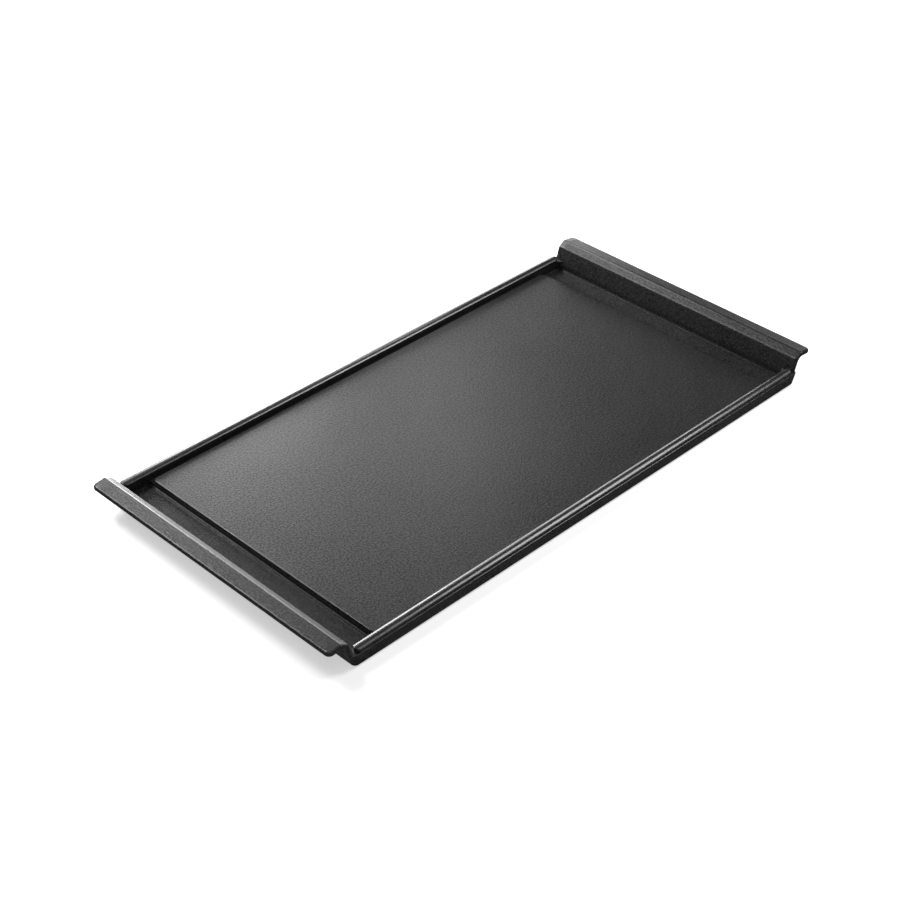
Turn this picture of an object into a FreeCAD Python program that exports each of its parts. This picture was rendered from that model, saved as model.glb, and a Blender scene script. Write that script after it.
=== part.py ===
import FreeCAD, Part
import math
import os
import Sketcher
from FreeCAD import Vector

# A double-zone griddle plate for an electric hob: one aluminium casting with a raised
# cooking surface, a grease channel at each end, a rim along each long side and a turned-out
# grip at each end, and two perforated steel plates pressed flush into its underside.
# Frame: origin at the middle of the underside, +X along the plate, +Z up. Millimetres.

DRIVING = {
    "ground": 0.0,
    # shallow body: its flat underside, and the shoulder that the rims stand on
    "base_length": 496.4,
    "base_width": 271.8,
    "shoulder_height": 10.8,
    "shoulder_width": 272.8,
    "end_lean_out": 0.33,
    # hollow of the tray
    "tray_width": 255.6,
    "foot_length": 490.6,
    "foot_height": 4.5,
    "end_lean_in": 0.33,
    # raised rim along each long side
    "rim_length": 490.0,
    "rim_outer_width": 271.6,
    "rim_rise": 2.0,
    "crown_radius": 5.7,
    "crown_room": 2.0,
    # raised cooking surface: its top, and where its sloping sides meet the floor
    "plateau_height": 8.9,
    "plateau_length": 441.4,
    "plateau_width": 250.8,
    "plateau_foot_length": 444.6,
    "groove_height": 6.3,
    # sunk floor of the grease channel at each end
    "channel_depth": 0.8,
    "channel_ledge": 1.3,
    # grips, up the end wall, over a brow and down to the tip
    "grip_width": 268.4,
    "grip_root_height": 6.0,
    "knee_height": 22.2,
    "brow_length": 515.6,
    "brow_height": 26.1,
    "overall_length": 540.0,
    "tip_height": 24.6,
    "tip_thickness": 4.2,
    "armpit_height": 21.8,
    # steel plates in the underside, and the studs of the casting that fill their holes
    "steel_side": 204.0,
    "steel_thickness": 1.2,
    "steel_offset": 114.0,
    "stud_radius": 3.0,
    "stud_pitch": 24.0,
    "stud_rows": 8,
    # corners seen from above
    "tray_corner": 6.0,
    "rim_corner": 3.5,
    "plateau_corner": 4.0,
    "channel_corner": 3.0,
    "grip_corner": 4.5,
    "steel_corner": 12.0,
    # rounded edges
    "base_round": 2.4,
    "shoulder_round": 0.7,
    "rim_round": 0.8,
    "plateau_round": 0.8,
    "channel_round": 0.4,
    "knee_round": 2.5,
    "brow_round": 2.0,
    "armpit_round": 5.0,
    "grip_round": 1.9,
}

# Values worked out from the driving ones, as spreadsheet formulas.
DERIVED = {
    "base_x": "base_length / 2",
    "base_y": "base_width / 2",
    "shoulder_x": "base_x + shoulder_height * end_lean_out",
    "shoulder_y": "shoulder_width / 2",
    "tray_y": "tray_width / 2",
    "foot_x": "foot_length / 2",
    "rim_edge_height": "shoulder_height + rim_rise",
    "crown_half": "(rim_outer_width - tray_width) / 4",
    "mouth_height": "rim_edge_height + crown_room",
    "mouth_x": "foot_x + (mouth_height - foot_height) * end_lean_in",
    "rim_block_height": "mouth_height - shoulder_height",
    "rim_x": "rim_length / 2",
    "rim_y": "rim_outer_width / 2",
    "plateau_x": "plateau_length / 2",
    "plateau_y": "plateau_width / 2",
    "plateau_foot_x": "plateau_foot_length / 2",
    "step_lean": "(plateau_foot_x - plateau_x) / (plateau_height - foot_height)",
    "groove_x": "plateau_x + (plateau_height - groove_height) * step_lean",
    "channel_near_x": "plateau_foot_x + channel_ledge",
    "channel_far_x": "foot_x - channel_ledge",
    "channel_y": "tray_y - channel_ledge",
    "root_in_x": "foot_x + (grip_root_height - foot_height) * end_lean_in",
    "root_out_x": "base_x + grip_root_height * end_lean_out",
    "knee_x": "foot_x + (knee_height - foot_height) * end_lean_in",
    "brow_x": "brow_length / 2",
    "tip_x": "overall_length / 2",
    "tip_bottom": "tip_height - tip_thickness",
    "armpit_x": "base_x + armpit_height * end_lean_out",
    "grip_y": "grip_width / 2",
    "body_corner": "shoulder_y - grip_y + grip_round",
    "steel_near_x": "steel_offset - steel_side / 2",
    "steel_far_x": "steel_offset + steel_side / 2",
    "steel_y": "steel_side / 2",
    "stud_span": "stud_pitch * (stud_rows - 1)",
    "stud_near_x": "steel_offset - stud_span / 2",
    "stud_far_x": "steel_offset + stud_span / 2",
    "stud_y": "stud_span / 2",
}

doc = FreeCAD.newDocument("griddle")
sheet = doc.addObject("Spreadsheet::Sheet", "dims")


def fill_sheet():
    """One row for each value: its name, then the value or formula with the name as alias."""
    cells = [(name, str(value)) for name, value in DRIVING.items()]
    cells += [(name, "=" + formula) for name, formula in DERIVED.items()]
    for row, (name, content) in enumerate(cells, start=1):
        sheet.set(f"A{row}", name)
        sheet.setAlias(f"B{row}", name)
        sheet.set(f"B{row}", content)
    doc.recompute()


def size(name):
    return float(sheet.get(name))


def signed(place):
    """Where a (sign, name) lies along its axis."""
    return place[0] * size(place[1])


def bind(feature, prop, name):
    feature.setExpression(prop, "dims." + name)


def new_body(label):
    body = doc.addObject("PartDesign::Body", label)
    body.Label = label
    return body


def new_sketch(body, name, role="XY_Plane", height=None):
    """A sketch on one of the body's origin planes, lifted to a height of the sheet."""
    sketch = body.newObject("Sketcher::SketchObject", name)
    plane = next(f for f in body.Origin.OriginFeatures if f.Role == role)
    sketch.AttachmentSupport = (plane, [""])
    sketch.MapMode = "FlatFace"
    if height:
        bind(sketch, "AttachmentOffset.Base.z", height)
    doc.recompute()
    return sketch


def hold(sketch, direction, geometry, point, sign, name):
    """Keeps one point of a sketch at a value of the sheet from the origin, on either side."""
    order = (-1, 1, geometry, point) if sign > 0 else (geometry, point, -1, 1)
    index = sketch.addConstraint(Sketcher.Constraint("Distance" + direction, *order, size(name)))
    sketch.setExpression(f"Constraints[{index}]", "dims." + name)


def outline(sketch, corners):
    """A closed outline of straight lines. Each corner is (sign, name) along, then up."""
    points = [Vector(sx * size(x), sy * size(y), 0) for (sx, x), (sy, y) in corners]
    first = sketch.GeometryCount
    count = len(points)
    for k in range(count):
        sketch.addGeometry(Part.LineSegment(points[k], points[(k + 1) % count]))
    for k, (along, up) in enumerate(corners):
        before = first + (k - 1) % count
        sketch.addConstraint(Sketcher.Constraint("Coincident", before, 2, first + k, 1))
        hold(sketch, "X", first + k, 1, *along)
        hold(sketch, "Y", first + k, 1, *up)


def rounded_box(sketch, left, right, low, high, corner):
    """A rectangle with round corners. Each side is (sign, name) along its own axis."""
    x0, x1, y0, y1 = (signed(place) for place in (left, right, low, high))
    r = size(corner)
    first = sketch.GeometryCount
    sides = [
        ((x0 + r, y0), (x1 - r, y0)),
        ((x1, y0 + r), (x1, y1 - r)),
        ((x1 - r, y1), (x0 + r, y1)),
        ((x0, y1 - r), (x0, y0 + r)),
    ]
    centres = [(x1 - r, y0 + r), (x1 - r, y1 - r), (x0 + r, y1 - r), (x0 + r, y0 + r)]
    for k, ((start, end), centre) in enumerate(zip(sides, centres)):
        sketch.addGeometry(Part.LineSegment(Vector(*start, 0), Vector(*end, 0)))
        whole = Part.Circle(Vector(*centre, 0), Vector(0, 0, 1), r)
        turn = math.radians(90 * (k - 1))
        sketch.addGeometry(Part.ArcOfCircle(whole, turn, turn + math.radians(90)))
    for k in range(4):
        line, arc, after = first + 2 * k, first + 2 * k + 1, first + (2 * k + 2) % 8
        sketch.addConstraint(Sketcher.Constraint("Tangent", line, 2, arc, 1))
        sketch.addConstraint(Sketcher.Constraint("Tangent", arc, 2, after, 1))
        sketch.addConstraint(Sketcher.Constraint("Vertical" if k % 2 else "Horizontal", line))
        if k:
            sketch.addConstraint(Sketcher.Constraint("Equal", first + 1, arc))
    radius = sketch.addConstraint(Sketcher.Constraint("Radius", first + 1, r))
    sketch.setExpression(f"Constraints[{radius}]", "dims." + corner)
    hold(sketch, "Y", first, 1, *low)
    hold(sketch, "X", first + 2, 1, *right)
    hold(sketch, "Y", first + 4, 1, *high)
    hold(sketch, "X", first + 6, 1, *left)


def circle(sketch, x, y, radius):
    """A circle whose centre lies at (sign, name) along and across."""
    (sx, nx), (sy, ny) = x, y
    centre = Vector(sx * size(nx), sy * size(ny), 0)
    index = sketch.addGeometry(Part.Circle(centre, Vector(0, 0, 1), size(radius)))
    bound = sketch.addConstraint(Sketcher.Constraint("Radius", index, size(radius)))
    sketch.setExpression(f"Constraints[{bound}]", "dims." + radius)
    hold(sketch, "X", index, 3, *x)
    hold(sketch, "Y", index, 3, *y)


def extrude(body, kind, name, sketch, length, reverse=False, both_ways=False):
    """A Pad or a Pocket. It checks that the body grows or shrinks as it should."""
    before = body.Shape.Volume if body.Tip else 0
    feature = body.newObject("PartDesign::" + kind, name)
    feature.Profile = sketch
    bind(feature, "Length", length)
    feature.Reversed = reverse
    feature.Midplane = both_ways
    doc.recompute()
    grown = body.Shape.Volume - before
    if (grown > 0) != (kind == "Pad"):
        raise RuntimeError(f"{name} goes the wrong way: {grown}")
    return feature


def mirror(body, name, originals):
    """The same features again on the other side of the middle of the plate."""
    feature = body.newObject("PartDesign::Mirrored", name)
    feature.Originals = originals
    plane = next(f for f in body.Origin.OriginFeatures if f.Role == "YZ_Plane")
    feature.MirrorPlane = (plane, [""])
    doc.recompute()
    body.Tip = feature
    doc.recompute()
    return feature


def rounding(body, name, radius, wanted):
    """Rounds every edge of the body that wanted(edge, its middle) accepts."""
    base = body.Tip
    picked = []
    for number, edge in enumerate(base.Shape.Edges, start=1):
        middle = edge.valueAt((edge.FirstParameter + edge.LastParameter) / 2)
        if wanted(edge, middle):
            picked.append(f"Edge{number}")
    feature = body.newObject("PartDesign::Fillet", name)
    feature.Base = (base, picked)
    bind(feature, "Radius", radius)
    doc.recompute()
    good = feature.isValid() and feature.Shape.isValid() and len(feature.Shape.Solids) == 1
    if not (picked and good):
        raise RuntimeError(f"{name} fails on {len(picked)} edges")
    return feature


def near(value, target, slack=0.05):
    return abs(value - target) < slack


def upright(edge):
    """Whether an edge runs more up than along."""
    ends = [v.Point for v in edge.Vertexes]
    return len(ends) == 2 and abs(ends[1].z - ends[0].z) > 0.8 * (ends[1] - ends[0]).Length


def across(body, kind, name, line, width):
    """A pad or pocket of one outline across the plate, the same both ways from its middle."""
    profile = new_sketch(body, name + "_profile", role="XZ_Plane")
    outline(profile, [((side, x), (1, z)) for side, x, z in line])
    return extrude(body, kind, name, profile, width, both_ways=True)


def trapezoid(low_x, low_z, high_x, high_z):
    """The corners of a symmetrical trapezoid, from its lower left."""
    return [(-1, low_x, low_z), (1, low_x, low_z), (1, high_x, high_z), (-1, high_x, high_z)]


def build_block(body):
    """The outside of the shallow body below the rims. Its long sides lean out a little."""
    block = trapezoid("base_x", "ground", "shoulder_x", "shoulder_height")
    across(body, "Pad", "block", block, "shoulder_width")
    sliver = new_sketch(body, "side_lean", role="YZ_Plane")
    for side in (-1, 1):
        low = ((side, "base_y"), (1, "ground"))
        out = ((side, "shoulder_y"), (1, "ground"))
        high = ((side, "shoulder_y"), (1, "shoulder_height"))
        outline(sliver, [low, out, high])
    extrude(body, "Pocket", "side_cut", sliver, "overall_length", both_ways=True)
    rounding(body, "body_corners", "body_corner", lambda edge, p: upright(edge))
    rounding(body, "base_edge", "base_round", lambda edge, p: near(p.z, 0))
    top = size("shoulder_height")
    rounding(body, "shoulder_edge", "shoulder_round", lambda edge, p: near(p.z, top))


def build_grip(label, side):
    """The end wall and turned-out grip of one end, with its edges rounded all round."""
    body = new_body(label)
    line = [
        (side, "root_in_x", "grip_root_height"),
        (side, "knee_x", "knee_height"),
        (side, "brow_x", "brow_height"),
        (side, "tip_x", "tip_height"),
        (side, "tip_x", "tip_bottom"),
        (side, "armpit_x", "armpit_height"),
        (side, "root_out_x", "grip_root_height"),
    ]
    across(body, "Pad", "profile", line, "grip_width")
    for name in ("brow", "knee", "armpit"):
        place, floor = size(name + "_x"), size("tip_bottom")
        lengthwise = lambda edge, p: near(abs(p.x), place) and near(p.y, 0) and p.z > floor
        rounding(body, name, name + "_round", lengthwise)
    tip, end, root = size("tip_x"), size("grip_y"), size("grip_root_height")
    at_corner = lambda edge, p: upright(edge) and near(abs(p.x), tip)
    rounding(body, "corners", "grip_corner", at_corner)
    at_rim = lambda edge, p: p.z > root + 0.01 and (near(abs(p.y), end) or near(abs(p.x), tip))
    rounding(body, "edges", "grip_round", at_rim)
    return body


def join(body, name, others):
    """Fuses other bodies into this one."""
    feature = body.newObject("PartDesign::Boolean", name)
    feature.addObjects(others)
    feature.Type = "Fuse"
    doc.recompute()
    body.Tip = feature
    doc.recompute()


def build_tray(body):
    """The hollow, the raised cooking surface in it and the sunk channel at each end."""
    hollow = trapezoid("foot_x", "foot_height", "mouth_x", "mouth_height")
    across(body, "Pocket", "hollow", hollow, "tray_width")
    tray_y, top = size("tray_y"), size("shoulder_height")
    at_corner = lambda edge, p: upright(edge) and near(abs(p.y), tray_y) and p.z < top
    rounding(body, "tray_corners", "tray_corner", at_corner)
    groove = trapezoid("plateau_foot_x", "foot_height", "groove_x", "groove_height")
    across(body, "Pad", "groove_floor", groove, "tray_width")
    top = trapezoid("groove_x", "groove_height", "plateau_x", "plateau_height")
    across(body, "Pad", "plateau", top, "plateau_width")


def build_channels(body):
    """The sunk floor of the grease channel at each end, inside a narrow ledge."""
    floor = new_sketch(body, "channel_outline", height="foot_height")
    ends = ((1, "channel_near_x"), (1, "channel_far_x"))
    rounded_box(floor, *ends, (-1, "channel_y"), (1, "channel_y"), "channel_corner")
    channel = extrude(body, "Pocket", "channel", floor, "channel_depth")
    mirror(body, "other_channel", [channel])


def over_crown(sketch, side):
    """What is cut away above one rim, so that its top is a low arch from side to side."""
    left, right = sorted([(side, "tray_y"), (side, "rim_y")], key=signed)
    edge, top = "rim_edge_height", "mouth_height"
    corners = [(left, edge), (left, top), (right, top), (right, edge)]
    points = [Vector(signed(along), size(up), 0) for along, up in corners]
    first = sketch.GeometryCount
    for start, end in zip(points, points[1:]):
        sketch.addGeometry(Part.LineSegment(start, end))
    radius = size("crown_radius")
    spread = math.asin(size("crown_half") / radius)
    middle = (points[0] + points[3]) / 2 - Vector(0, radius * math.cos(spread), 0)
    whole = Part.Circle(middle, Vector(0, 0, 1), radius)
    arch = sketch.addGeometry(Part.ArcOfCircle(whole, math.pi / 2 - spread, math.pi / 2 + spread))
    for before, after in ((first, first + 1), (first + 1, first + 2), (first + 2, arch), (arch, first)):
        sketch.addConstraint(Sketcher.Constraint("Coincident", before, 2, after, 1))
    for line, point, (along, up) in zip((0, 1, 2, 2), (1, 1, 1, 2), corners):
        hold(sketch, "X", first + line, point, *along)
        hold(sketch, "Y", first + line, point, 1, up)
    bound = sketch.addConstraint(Sketcher.Constraint("Radius", arch, radius))
    sketch.setExpression(f"Constraints[{bound}]", "dims.crown_radius")


def build_rims(body):
    """A raised, crowned rim along each long side. Its ends stop just short of the end walls."""
    bar = new_sketch(body, "rim_outline", height="shoulder_height")
    for side in (-1, 1):
        low, high = sorted([(side, "tray_y"), (side, "rim_y")], key=signed)
        rounded_box(bar, (-1, "rim_x"), (1, "rim_x"), low, high, "rim_corner")
    extrude(body, "Pad", "rims", bar, "rim_block_height")
    crown = new_sketch(body, "crown_profile", role="YZ_Plane")
    for side in (-1, 1):
        over_crown(crown, side)
    extrude(body, "Pocket", "crowns", crown, "overall_length", both_ways=True)
    low, end, inner = size("rim_edge_height") - 0.05, size("rim_x") + 0.01, size("tray_y") - 0.01
    along_top = lambda edge, p: p.z > low and abs(p.x) < end and abs(p.y) > inner
    rounding(body, "rim_edges", "rim_round", along_top)


def round_tray(body):
    """Rounds the cooking surface, the channel floors and the outer edge of the shoulder."""
    plateau_x, plateau_y, top = size("plateau_x"), size("plateau_y"), size("plateau_height")
    at_corner = lambda edge, p: upright(edge) and near(abs(p.y), plateau_y) and abs(p.x) > plateau_x
    rounding(body, "plateau_corners", "plateau_corner", at_corner)
    rounding(body, "plateau_edges", "plateau_round", lambda edge, p: near(p.z, top))
    sunk = size("foot_height") - size("channel_depth")
    rounding(body, "channel_edges", "channel_round", lambda edge, p: near(p.z, sunk))


def grid(body, name, sketch, cut):
    """Repeats one stud or hole in rows along and across."""
    feature = body.newObject("PartDesign::MultiTransform", name)
    feature.Originals = [cut]
    rows = []
    for axis in ("H_Axis", "V_Axis"):
        row = doc.addObject("PartDesign::LinearPattern", f"{name}_{axis}")
        body.addObject(row)
        row.Direction = (sketch, [axis])
        bind(row, "Length", "stud_span")
        bind(row, "Occurrences", "stud_rows")
        rows.append(row)
    feature.Transformations = rows
    doc.recompute()
    body.Tip = feature
    doc.recompute()


def steel_outline(body, side):
    """The outline of one steel plate, on the left (-1) or right (1) half."""
    sketch = new_sketch(body, f"steel_outline_{body.Label}_{'left' if side < 0 else 'right'}")
    ends = sorted([(side, "steel_near_x"), (side, "steel_far_x")], key=signed)
    rounded_box(sketch, *ends, (-1, "steel_y"), (1, "steel_y"), "steel_corner")
    return sketch


def stud_grid(body, kind, side, reverse):
    """The studs of the casting (Pad) or the holes of a steel plate (Pocket), in a grid."""
    name = f"studs_{body.Label}_{'left' if side < 0 else 'right'}"
    spot = new_sketch(body, name + "_outline")
    first = "stud_near_x" if side > 0 else "stud_far_x"
    circle(spot, (side, first), (-1, "stud_y"), "stud_radius")
    one = extrude(body, kind, name + "_first", spot, "steel_thickness", reverse=reverse)
    grid(body, name, spot, one)


def build_recesses(body):
    """The recess for each steel plate, with the studs that fill the plate's holes."""
    for side in (-1, 1):
        seat = steel_outline(body, side)
        extrude(body, "Pocket", seat.Label + "_recess", seat, "steel_thickness", reverse=True)
        stud_grid(body, "Pad", side, reverse=False)


def build_steel(body, side):
    """A perforated steel plate, its lower face flush with the underside of the casting."""
    sheet_outline = steel_outline(body, side)
    extrude(body, "Pad", "sheet_" + body.Label, sheet_outline, "steel_thickness")
    stud_grid(body, "Pocket", side, reverse=True)


def check_and_export(bodies):
    for item in doc.Objects:
        if {"Invalid", "Error"} & set(item.State):
            raise RuntimeError(f"{item.Name}: {item.State}")
    os.makedirs("parts", exist_ok=True)
    for body in bodies:
        shape = body.Shape
        if shape.isNull() or not shape.isValid() or len(shape.Solids) != 1:
            raise RuntimeError(body.Label + " is not one good solid")
        shape.exportStep(f"parts/{body.Label}.step")
        box = shape.BoundBox
        print(
            f"{body.Label}: {box.XLength:.1f} x {box.YLength:.1f} x {box.ZLength:.1f} mm, "
            f"{shape.Volume / 1000:.1f} cm3, {len(shape.Faces)} faces"
        )


fill_sheet()
plate = new_body("griddle_plate")
build_block(plate)
join(plate, "with_grips", [build_grip("left_grip", -1), build_grip("right_grip", 1)])
build_tray(plate)
build_channels(plate)
build_rims(plate)
round_tray(plate)
build_recesses(plate)
left_steel = new_body("left_induction_plate")
build_steel(left_steel, -1)
right_steel = new_body("right_induction_plate")
build_steel(right_steel, 1)
check_and_export([plate, left_steel, right_steel])
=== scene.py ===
import math

import bpy
from mathutils import Matrix, Vector


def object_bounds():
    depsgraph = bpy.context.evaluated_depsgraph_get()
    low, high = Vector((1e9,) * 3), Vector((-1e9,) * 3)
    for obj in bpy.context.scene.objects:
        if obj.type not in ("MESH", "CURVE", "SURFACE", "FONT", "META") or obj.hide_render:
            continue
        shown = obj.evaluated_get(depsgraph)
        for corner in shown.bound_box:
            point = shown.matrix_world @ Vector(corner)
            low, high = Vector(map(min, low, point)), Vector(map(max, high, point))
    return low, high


# A coated cast griddle plate on a pale studio floor. Its shape is the CAD frame's own; this
# script gives it its surfaces, the light and the camera. Lengths are in metres.

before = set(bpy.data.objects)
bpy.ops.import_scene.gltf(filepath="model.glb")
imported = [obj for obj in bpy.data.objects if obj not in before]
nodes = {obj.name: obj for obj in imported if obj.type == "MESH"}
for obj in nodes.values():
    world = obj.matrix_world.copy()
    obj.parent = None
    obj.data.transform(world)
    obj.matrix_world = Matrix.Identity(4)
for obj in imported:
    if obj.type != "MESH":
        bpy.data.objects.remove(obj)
cad_low, cad_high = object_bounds()

# Landmarks of the plate: distances from its middle, and heights above its underside.
PLATEAU_END = 0.2207      # along X, the end of the raised cooking surface
CHANNEL_START = 0.2222    # along X, the foot of the step down to the grease channel
BROW = 0.2578             # along X, the crease of each grip
RIM_START = 0.1278        # along Y, the inner side of each rim
CHANNEL_TOP = 0.0075      # height between the channel's floor and the cooking surface
UNDERSIDE_TOP = 0.0014    # height just above the plate's underside
# How far the smooth bands along the crease and the lip reach inwards and outwards from it.
CREASE_REACH = (0.0015, 0.0017)
LIP_REACH = (0.0010, 0.0006)

# The floor and the light of the room.
FLOOR_SIZE = 80.0
FLOOR_GAP = 0.0002        # between the plate's underside and the floor
FLOOR_GLOW = 0.55
WORLD_GLOW = 0.07


# Small helpers for shader nodes ---------------------------------------------------------

class Shader:
    """A material and short ways to add the nodes that these surfaces are made of."""

    def __init__(self, name):
        self.material = bpy.data.materials.new(name)
        self.material.use_nodes = True
        self.tree = self.material.node_tree
        self.surface = self.tree.nodes["Principled BSDF"]
        self.place = self.add("ShaderNodeTexCoord").outputs["Object"]

    def feed(self, socket, value):
        """Links a socket to another node's output, or sets it to a plain value."""
        if isinstance(value, bpy.types.NodeSocket):
            self.tree.links.new(value, socket)
        else:
            socket.default_value = value

    def drive(self, socket, value):
        """Feeds one input of the surface."""
        self.feed(self.surface.inputs[socket], value)

    def add(self, kind, values=None, **settings):
        """Adds a node with the values of its inputs and its other settings."""
        made = self.tree.nodes.new(kind)
        for key, value in settings.items():
            setattr(made, key, value)
        for key, value in (values or {}).items():
            self.feed(made.inputs[key], value)
        return made

    def noise(self, grain, detail=2.0, rough=0.5, where=None):
        """Soft noise whose lumps are about as large as the grain, in metres."""
        values = {"Scale": 1.0 / grain, "Detail": detail, "Roughness": rough}
        values["Vector"] = where or self.place
        return self.add("ShaderNodeTexNoise", values).outputs["Fac"]

    def spread(self, value, low, high, to_low=0.0, to_high=1.0):
        """Maps low..high of a value onto another range, and holds it at the ends."""
        values = {"Value": value, "From Min": low, "From Max": high}
        values.update({"To Min": to_low, "To Max": to_high})
        return self.add("ShaderNodeMapRange", values).outputs["Result"]

    def maths(self, operation, first, second):
        """One step of arithmetic on two values."""
        made = self.add("ShaderNodeMath", operation=operation)
        for socket, value in zip(made.inputs, (first, second)):
            self.feed(socket, value)
        return made.outputs["Value"]

    def largest(self, first, *others):
        """The largest of several values."""
        for other in others:
            first = self.maths("MAXIMUM", first, other)
        return first

    def lerp(self, factor, first, second):
        """Mixes two plain values."""
        values = {"Factor": factor, "A": first, "B": second}
        return self.add("ShaderNodeMix", values).outputs["Result"]

    def blend(self, factor, first, second):
        """Mixes two colours. Either may be a grey or tint given as three numbers."""
        made = self.add("ShaderNodeMix", {"Factor": factor}, data_type="RGBA")
        colours = [socket for socket in made.inputs if socket.type == "RGBA"]
        for socket, value in zip(colours, (first, second)):
            self.feed(socket, (*value, 1.0) if isinstance(value, tuple) else value)
        return next(socket for socket in made.outputs if socket.type == "RGBA")

    def corner(self, reach, inside):
        """1 on open faces, falling to 0 at convex edges (inside) or at the foot of walls."""
        values = {"Distance": reach}
        made = self.add("ShaderNodeAmbientOcclusion", values, samples=12, inside=inside)
        return made.outputs["AO"]

    def along(self, axis):
        """The place on the plate along X, Y or Z."""
        return self.add("ShaderNodeSeparateXYZ", {"Vector": self.place}).outputs[axis]

    def beyond(self, axis, distance, soft=0.0006):
        """1 farther from the middle than a distance along X or Y, on either side."""
        away = self.maths("ABSOLUTE", self.along(axis), 0.0)
        return self.spread(away, distance - soft, distance + soft)

    def band(self, axis, distance, reach, far_soft=0.0014):
        """1 close to a distance from the middle, on either side."""
        inwards, outwards = reach
        near = self.beyond(axis, distance - inwards)
        return self.maths("SUBTRACT", near, self.beyond(axis, distance + outwards, far_soft))

    def below(self, height, soft=0.0006):
        """1 lower than a height, 0 above it."""
        return self.spread(self.along("Z"), height - soft, height + soft, 1.0, 0.0)

    def relief(self, height, depth, under=None, strength=1.0):
        """Bump of a height, on top of the one under it."""
        values = {"Height": height, "Distance": depth, "Strength": strength}
        if under is not None:
            values["Normal"] = under
        return self.add("ShaderNodeBump", values).outputs["Normal"]


# Surfaces -------------------------------------------------------------------------------

def smooth_zones(coat):
    """Where the coating is smoother: in the channels, and where it is handled, which is on
    the rims, the grips' crease and the ends of the cooking surface. Not on the underside."""
    upper = coat.maths("SUBTRACT", 1.0, coat.below(UNDERSIDE_TOP))
    channel = coat.maths("MULTIPLY", coat.beyond("X", CHANNEL_START), coat.below(CHANNEL_TOP))
    crease = coat.band("X", BROW, CREASE_REACH)
    lip = coat.band("X", PLATEAU_END, LIP_REACH)
    handled = coat.largest(coat.beyond("Y", RIM_START), crease, lip)
    return coat.maths("MULTIPLY", channel, upper), coat.maths("MULTIPLY", handled, upper)


def coating_colour(coat, grain, patch):
    """Near black and finely speckled, lighter in clouds, darkened by painted shade at the foot
    of walls, and lighter in patches along convex edges: partly wear, partly a painted highlight."""
    dark_speck, light_speck = (0.003, 0.003, 0.0031), (0.022, 0.022, 0.0225)
    cloud_grey = (0.040, 0.040, 0.041)
    # Painted shade: the grey that darkens the coat at the foot of walls.
    foot_shade_grey = (0.012, 0.012, 0.0118)
    # Partly wear, partly a painted highlight: the lighter grey of convex edges.
    worn_and_highlight_grey = (0.055, 0.055, 0.0545)
    cloud_size, foot_reach, edge_reach = 0.13, 0.007, 0.0016
    cloud_share, foot_shade_share, worn_and_highlight_share = 0.22, 0.45, 0.5

    cloud = coat.spread(coat.noise(cloud_size), 0.3, 0.7, 0.0, cloud_share)
    # Painted shade at the foot of walls, strongest where a point is most occluded.
    foot = coat.spread(coat.corner(foot_reach, inside=False), 0.45, 0.9, 1.0, 0.0)
    edge = coat.spread(coat.corner(edge_reach, inside=True), 0.35, 0.75, 1.0, 0.0)
    # Convex edges lighter in patches: wear, and a painted highlight standing in for their glints.
    worn_and_highlight = coat.maths("MULTIPLY", edge, coat.spread(patch, 0.38, 0.62, 0.35, 1.0))

    sprayed = coat.blend(coat.spread(grain, 0.36, 0.64), dark_speck, light_speck)
    uneven = coat.blend(cloud, sprayed, cloud_grey)
    # Paints that shade onto the coat.
    foot_shaded = coat.blend(coat.maths("MULTIPLY", foot, foot_shade_share), uneven, foot_shade_grey)
    # Paints the lighter edges, wear and painted highlight together, onto the coat.
    return coat.blend(coat.maths("MULTIPLY", worn_and_highlight, worn_and_highlight_share), foot_shaded, worn_and_highlight_grey)


def coated_casting():
    """Sprayed dark non-stick coating over a cast surface: fine grain, half matt, and smoother
    in the channels and where it is handled."""
    channel_gloss, handled_gloss = 0.32, 0.8
    smooth_roughness = 0.27
    grain_size, grain_depth = 0.0015, 0.00022
    wave_size, wave_depth = 0.006, 0.00004
    patch_size = 0.024

    coat = Shader("coated_casting")
    grain = coat.noise(grain_size, detail=1.0)
    patch = coat.noise(patch_size, detail=3.0, rough=0.55)
    channel, handled = smooth_zones(coat)
    smooth = coat.largest(channel, handled)
    coat.drive("Base Color", coating_colour(coat, grain, patch))

    rough = coat.lerp(smooth, coat.spread(grain, 0.35, 0.65, 0.31, 0.39), smooth_roughness)
    coat.drive("Roughness", coat.maths("ADD", rough, coat.spread(patch, 0.35, 0.65, -0.02, 0.02)))
    gloss = coat.lerp(handled, coat.spread(grain, 0.36, 0.64, 0.36, 0.62), handled_gloss)
    coat.drive("Specular IOR Level", coat.lerp(channel, gloss, channel_gloss))

    waves = coat.relief(coat.noise(wave_size), wave_depth)
    grainy = coat.maths("SUBTRACT", 1.0, smooth)
    coat.drive("Normal", coat.relief(grain, grain_depth, under=waves, strength=grainy))
    return coat.material


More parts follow.
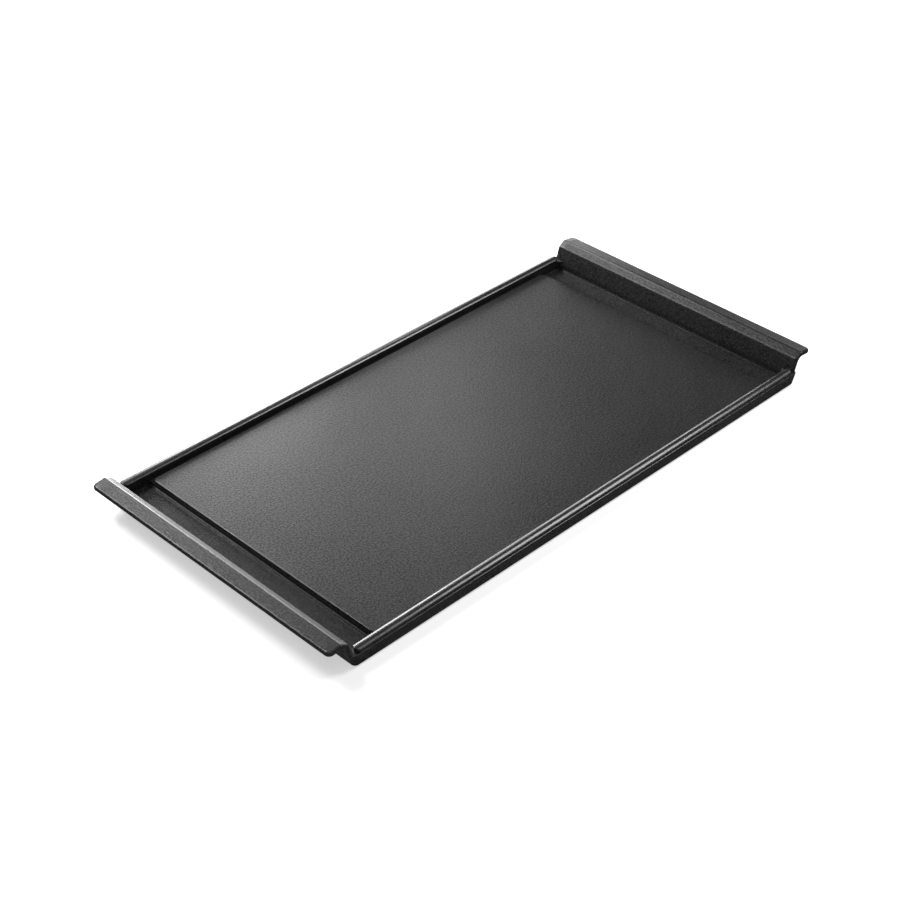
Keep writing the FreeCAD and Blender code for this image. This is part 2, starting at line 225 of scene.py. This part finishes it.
def induction_steel():
    """Bare ferritic steel sheet: brushed along its length, uneven in tone, with a few brown
    stains and brighter edges."""
    dark_line, light_line = (0.40, 0.40, 0.395), (0.58, 0.575, 0.565)
    cloud_grey = (0.44, 0.435, 0.42)
    stain_brown = (0.30, 0.28, 0.25)
    edge_grey = (0.66, 0.66, 0.65)
    line_width, line_depth, line_stretch = 0.0006, 0.00001, 0.02
    cloud_size, stain_size, edge_reach = 0.05, 0.012, 0.0015
    cloud_share, stain_share, edge_share = 0.5, 0.4, 0.4

    steel = Shader("induction_steel")
    values = {"Vector": steel.place, "Scale": (line_stretch, 1.0, 1.0)}
    stretched = steel.add("ShaderNodeMapping", values).outputs["Vector"]
    lines = steel.noise(line_width, detail=4.0, rough=0.6, where=stretched)
    clouds, stains = steel.noise(cloud_size, detail=3.0), steel.noise(stain_size, 4.0, 0.6)
    cloud = steel.spread(clouds, 0.35, 0.65, 0.0, cloud_share)
    stain = steel.spread(stains, 0.58, 0.75, 0.0, stain_share)
    edge = steel.spread(steel.corner(edge_reach, inside=True), 0.3, 0.8, edge_share, 0.0)

    brushed = steel.blend(steel.spread(lines, 0.3, 0.7), dark_line, light_line)
    stained = steel.blend(stain, steel.blend(cloud, brushed, cloud_grey), stain_brown)
    steel.drive("Base Color", steel.blend(edge, stained, edge_grey))
    steel.drive("Metallic", 1.0)
    steel.drive("Roughness", steel.spread(lines, 0.3, 0.7, 0.28, 0.44))
    steel.drive("Normal", steel.relief(lines, line_depth))
    return steel.material


def studio_floor():
    """Pale paper that glows a little, so that it stays pale under dim light. The glow isn't
    sampled as a lamp is, so only rays that happen to meet the floor find it."""
    dim_fibre, bright_fibre = (0.88, 0.88, 0.88), (0.92, 0.92, 0.92)
    fibre_size = 0.004
    paper = Shader("floor")
    fibre = paper.noise(fibre_size, detail=3.0)
    paper.drive("Base Color", paper.blend(fibre, dim_fibre, bright_fibre))
    paper.drive("Roughness", 0.9)
    paper.drive("Specular IOR Level", 0.2)
    paper.drive("Emission Color", (1.0, 1.0, 1.0, 1.0))
    paper.drive("Emission Strength", FLOOR_GLOW)
    paper.material.cycles.emission_sampling = "NONE"
    return paper.material


def wear(thing, material):
    thing.data.materials.clear()
    thing.data.materials.append(material)


wear(nodes["griddle_plate"], coated_casting())
steel_finish = induction_steel()
wear(nodes["left_induction_plate"], steel_finish)
wear(nodes["right_induction_plate"], steel_finish)


# Floor, light and camera ----------------------------------------------------------------

# Soft lights round the plate. Each stands at a bearing (degrees from +X towards +Y), a height
# angle and a distance, and faces the plate. Glow is its radiance.
LIGHTS = {
    "window_high": dict(bearing=82, height=50, distance=0.8, wide=0.42, tall=0.26, glow=0.8),
    "window_near": dict(bearing=125, height=40, distance=0.65, wide=0.36, tall=0.2, glow=6.0),
    "left_high": dict(bearing=108, height=51, distance=1.6, wide=0.5, tall=0.5, glow=11.0),
    "low_back": dict(bearing=48, height=8, distance=1.6, wide=0.8, tall=0.5, glow=5.0),
    "low_far": dict(bearing=12, height=8, distance=1.6, wide=0.75, tall=0.5, glow=1.4),
    "right_high": dict(bearing=-26, height=50, distance=1.2, wide=0.45, tall=0.4, glow=11.0),
    "fill": dict(bearing=240, height=65, distance=1.8, wide=1.2, tall=1.2, glow=0.6),
}
# Round lamps, by their place, radius and radiance.
GLOBES = {
    "window_left": dict(place=(0.155, 0.59, 0.165), radius=0.16, glow=9.2),
    "lamp": dict(place=(0.3, 0.35, 0.35), radius=0.08, glow=3.8),
}

# Where the camera stands: turned round the plate, tipped up and rolled (degrees), its
# distance from the middle of the underside and how far it is slid across its own view
# (metres). The lens and the sensor are in millimetres.
CAMERA = {
    "azimuth": -44.816,
    "elevation": 35.897,
    "roll": 0.0135,
    "distance": 1.4988,
    "slide": (-0.01556, -0.00977),
    "lens": 74.68,
    "sensor": 36.0,
}


def build_floor():
    """The floor, which the plate doesn't mirror, as in the photograph."""
    middle = (0, 0, cad_low.z - FLOOR_GAP)
    bpy.ops.mesh.primitive_plane_add(size=FLOOR_SIZE, location=middle)
    floor = bpy.context.object
    floor.name = "floor"
    wear(floor, studio_floor())
    floor.visible_glossy = False


def build_world(strength):
    world = bpy.data.worlds.new("studio")
    bpy.context.scene.world = world
    world.use_nodes = True
    back = world.node_tree.nodes["Background"]
    back.inputs["Color"].default_value = (1.0, 1.0, 1.0, 1.0)
    back.inputs["Strength"].default_value = strength


def hang_lamp(name, data, place):
    """Puts a light in the scene, out of the camera's sight."""
    lamp = bpy.data.objects.new(name, data)
    bpy.context.collection.objects.link(lamp)
    lamp.location = place
    lamp.visible_camera = False
    return lamp


def build_light(name, bearing, height, distance, wide, tall, glow):
    turn, rise = math.radians(bearing), math.radians(height)
    level = math.cos(rise)
    towards = Vector((math.cos(turn) * level, math.sin(turn) * level, math.sin(rise)))
    data = bpy.data.lights.new(name, "AREA")
    data.shape = "RECTANGLE"
    data.size, data.size_y = wide, tall
    data.energy = math.pi * wide * tall * glow
    lamp = hang_lamp(name, data, towards * distance)
    lamp.rotation_euler = (-towards).to_track_quat("-Z", "Y").to_euler()


def build_globe(name, place, radius, glow):
    """A round lamp, which leaves no edge of shade on the floor behind it."""
    data = bpy.data.lights.new(name, "POINT")
    data.shadow_soft_size = radius
    data.energy = 4.0 * math.pi ** 2 * radius ** 2 * glow
    hang_lamp(name, data, place)


def build_camera():
    angles = (math.radians(CAMERA[key]) for key in ("azimuth", "elevation", "roll"))
    azimuth, elevation, roll = angles
    level = math.cos(elevation)
    back = Vector((math.sin(azimuth) * level, -math.cos(azimuth) * level, math.sin(elevation)))
    right = Vector((math.cos(azimuth), math.sin(azimuth), 0.0))
    up = back.cross(right)
    slide_right, slide_up = CAMERA["slide"]
    data = bpy.data.cameras.new("camera")
    data.sensor_fit = "HORIZONTAL"
    data.sensor_width = CAMERA["sensor"]
    data.lens = CAMERA["lens"]
    camera = bpy.data.objects.new("camera", data)
    bpy.context.collection.objects.link(camera)
    turn = Matrix((right, up, back)).transposed()
    camera.matrix_world = (turn @ Matrix.Rotation(roll, 3, "Z")).to_4x4()
    camera.location = right * slide_right + up * slide_up + back * CAMERA["distance"]
    bpy.context.scene.camera = camera


bpy.context.scene.view_settings.view_transform = "Standard"
build_floor()
build_world(WORLD_GLOW)
for name, settings in LIGHTS.items():
    build_light(name, **settings)
for name, settings in GLOBES.items():
    build_globe(name, **settings)
build_camera()
